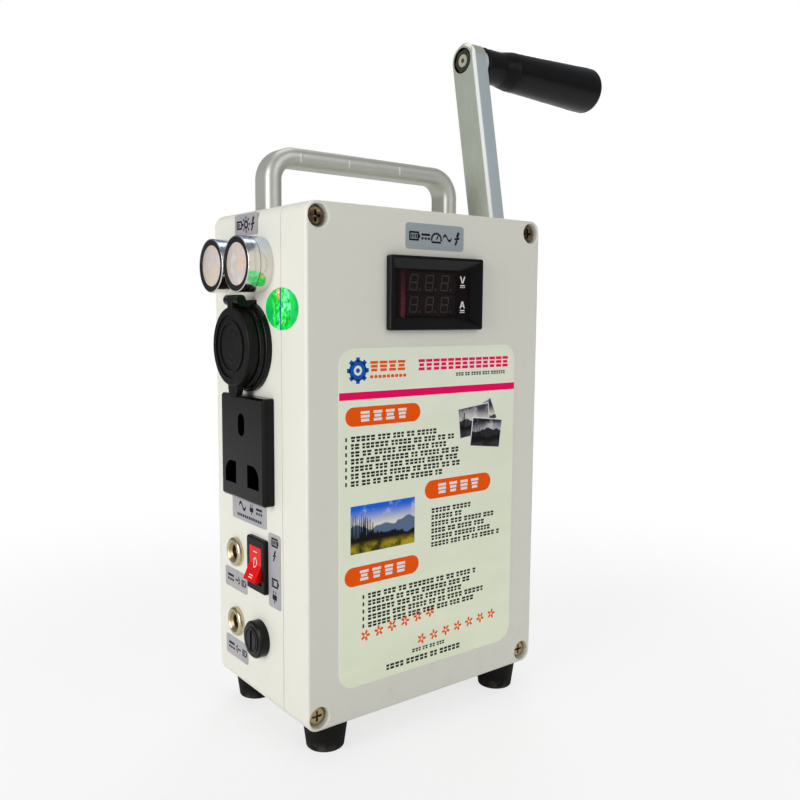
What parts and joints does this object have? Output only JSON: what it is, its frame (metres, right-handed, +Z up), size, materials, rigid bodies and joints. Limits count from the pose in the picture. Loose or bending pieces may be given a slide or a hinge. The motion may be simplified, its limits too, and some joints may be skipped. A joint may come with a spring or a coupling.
{
  "type": "hand crank generator",
  "caption": "Upright box with a battery and geared generator, crank arm with turning grip on one side, outlets on the other, meter and data sticker on the front, carrying handle on top.",
  "frame": {"origin": "on the surface the box stands on, under the middle of the box", "axes": "+Z up, +X towards the side with the crank, -Y out of the front with the meter and the data sticker"},
  "size_m": [0.231, 0.078, 0.306],
  "materials": {
    "enclosure": "satin",
    "rubber_black": "matte",
    "steel": "satin",
    "chrome": "polished",
    "nickel": "nickel plated",
    "brass": "satin",
    "aluminium": "satin anodised",
    "black_plastic": "glossy",
    "dark_plastic": "matte",
    "grip": "glossy",
    "red_plastic": "glossy",
    "meter_window": "glossy",
    "lens": "frosted",
    "circuit_board": "satin",
    "spec_film": "satin",
    "grey_film": "satin",
    "foil": "glossy",
    "nylon": "matte",
    "bearing_bronze": "satin",
    "gear_steel": "satin",
    "magnet": "matte",
    "copper_core": "matte",
    "cell_wrap": "satin",
    "fuse_glass": "clear"
  },
  "bodies": {
    "box": {"front_cover": "enclosure", "rear_case": "enclosure", "cover_gasket": "rubber_black", "cover_screws": "steel", "rubber_feet": "rubber_black", "pan_screws": "steel", "carry_handle": "aluminium", "meter_housing": "black_plastic", "meter_window": "meter_window", "meter_board": "circuit_board", "spec_sticker": "spec_film", "port_labels": "grey_film", "seal_sticker": "foil", "lamp_bodies": "chrome", "lamp_rings": "black_plastic", "lamp_lenses": "lens", "lamp_boards": "circuit_board", "panel_nuts": "steel", "usb_socket": "black_plastic", "usb_module": "dark_plastic", "usb_nut": "dark_plastic", "usb_cap_pin": "steel", "outlet_housing": "black_plastic", "outlet_contacts": "brass", "rocker_frame": "dark_plastic", "rocker_terminals": "brass", "jack_bodies": "nickel", "jack_nuts": "nickel", "jack_pins": "nickel", "fuse_holder": "black_plastic", "outer_gear_plate": "steel", "inner_gear_plate": "steel", "gearbox_spacers": "steel", "gearbox_screws": "steel", "crank_bushes": "bearing_bronze", "idler_axle": "steel", "generator_can": "steel", "generator_magnets": "magnet", "generator_end_cap": "dark_plastic", "generator_screws": "steel", "battery_cells": "cell_wrap", "battery_holders": "dark_plastic", "inverter_board": "circuit_board", "charge_board": "circuit_board", "board_standoffs": "nylon"},
    "crank": {"crank_shaft": "steel", "crank_gear": "gear_steel", "crank_arm": "aluminium", "hub_screw": "steel", "grip_spindle": "steel", "spindle_nut": "steel"},
    "grip": {"grip_sleeve": "grip", "grip_plug": "grip"},
    "idler": {"idler_gear": "gear_steel"},
    "rotor": {"armature": "copper_core", "rotor_pinion": "gear_steel"},
    "usb_cap": {"usb_cap": "rubber_black"},
    "rocker": {"rocker_key": "red_plastic"},
    "fuse": {"glass_fuse": "fuse_glass"},
    "fuse_cap": {"fuse_cap": "dark_plastic"}
  },
  "joints": [
    {"name": "crank_spin", "type": "hinge", "parent": "box", "child": "crank", "pos_m": [0.06, 0, 0.171], "axis": [1, 0, 0], "continuous": true},
    {"name": "grip_spin", "type": "hinge", "parent": "crank", "child": "grip", "pos_m": [0.076, 0.02235, 0.29399], "axis": [1, 0, 0], "continuous": true},
    {"name": "idler_spin", "type": "hinge", "parent": "box", "child": "idler", "pos_m": [0.048, 0, 0.141], "axis": [1, 0, 0], "continuous": true},
    {"name": "rotor_spin", "type": "hinge", "parent": "box", "child": "rotor", "pos_m": [0.037, 0, 0.117], "axis": [1, 0, 0], "continuous": true},
    {"name": "usb_cap_hinge", "type": "hinge", "parent": "box", "child": "usb_cap", "pos_m": [-0.0667, 0.0055, 0.1754], "axis": [0, 1, 0], "range_deg": [0, 90]},
    {"name": "rocker_tilt", "type": "hinge", "parent": "box", "child": "rocker", "pos_m": [-0.0604, -0.0005, 0.0689], "axis": [0, -1, 0], "range_deg": [0, 25]},
    {"name": "fuse_pull", "type": "slide", "parent": "box", "child": "fuse", "axis": [-1, 0, 0], "range_m": [0, 0.03]},
    {"name": "fuse_cap_twist", "type": "hinge", "parent": "fuse", "child": "fuse_cap", "pos_m": [-0.064, -0.001, 0.038], "axis": [1, 0, 0], "range_deg": [0, 75]}
  ],
  "couplings": [
    {"joint": "idler_spin", "follows": "crank_spin", "ratio": -4},
    {"joint": "rotor_spin", "follows": "crank_spin", "ratio": 12}
  ]
}
